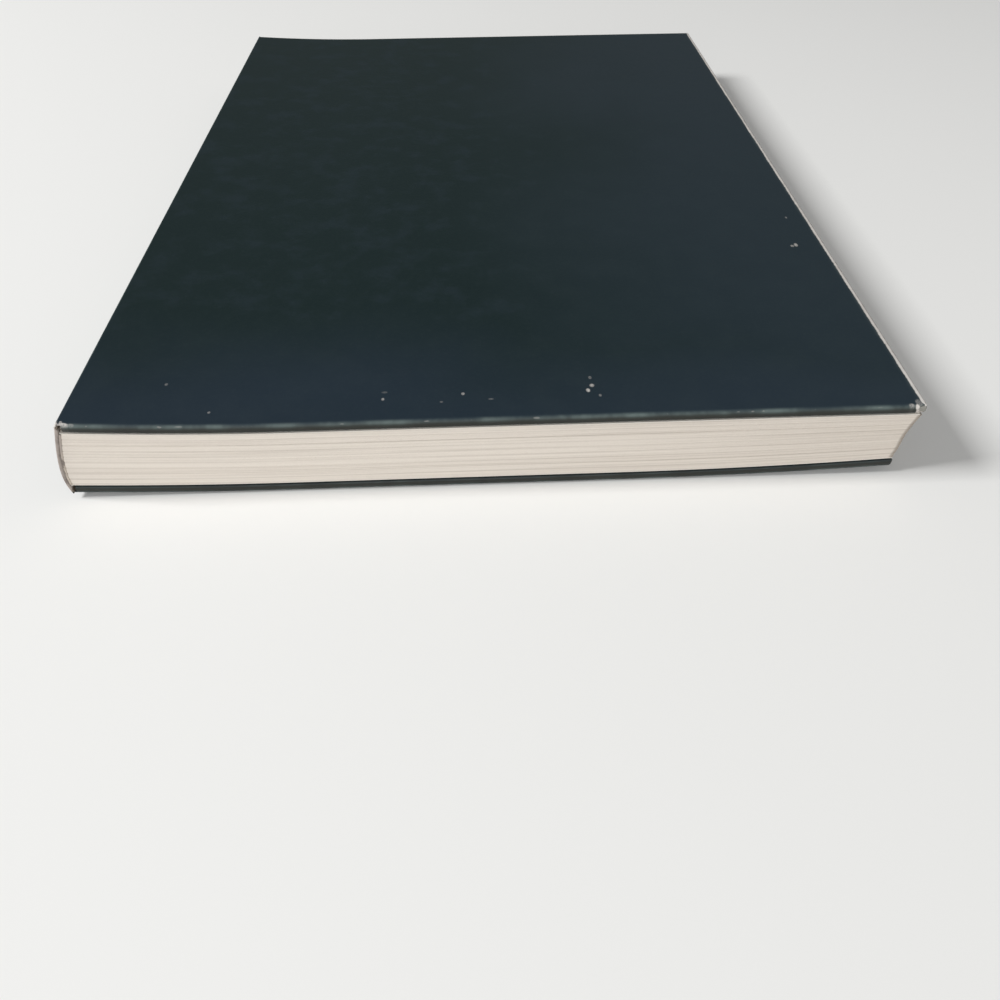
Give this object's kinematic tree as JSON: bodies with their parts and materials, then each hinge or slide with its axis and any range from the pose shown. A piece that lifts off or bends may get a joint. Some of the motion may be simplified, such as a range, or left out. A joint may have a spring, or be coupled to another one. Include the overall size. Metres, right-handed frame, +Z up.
{
  "type": "hardcover book",
  "caption": "Closed dark blue hardcover book with cream pages and bare covers, lying on its back cover; both covers open about the spine.",
  "frame": {"origin": "middle of the book's bounding box in plan, on the surface it lies on", "axes": "+X from the spine to the fore-edge, +Y from the tail to the head, +Z up from the back cover to the front cover"},
  "size_m": [0.1852, 0.257, 0.0204],
  "materials": {
    "covering": "matt-laminated printed paper, almost black blue-green, rubbed at the edges",
    "pages": "uncoated cream book paper",
    "endpaper": "plain off-white endpaper",
    "board": "raw greyboard",
    "card": "raw grey-brown card",
    "kraft": "brown kraft paper",
    "mull": "open cotton gauze stiffened with glue"
  },
  "bodies": {
    "block": {"text_block": "pages", "spine_mull": "mull", "spine_lining": "kraft", "spine_inlay": "card", "spine_covering": "covering", "front_flyleaf": "endpaper", "back_flyleaf": "endpaper"},
    "front_cover": {"front_board": "board", "front_covering": "covering", "front_mull_flange": "mull", "front_pastedown": "endpaper"},
    "back_cover": {"back_board": "board", "back_covering": "covering", "back_mull_flange": "mull", "back_pastedown": "endpaper"}
  },
  "joints": [
    {"name": "front_cover_hinge", "type": "hinge", "parent": "block", "child": "front_cover", "pos_m": [-0.08863, 0, 0.0205], "axis": [0, -1, 0], "range_deg": [0, 180]},
    {"name": "back_cover_hinge", "type": "hinge", "parent": "block", "child": "back_cover", "pos_m": [-0.09158, 0, 0.00115], "axis": [0, 1, 0], "range_deg": [0, 180]}
  ]
}
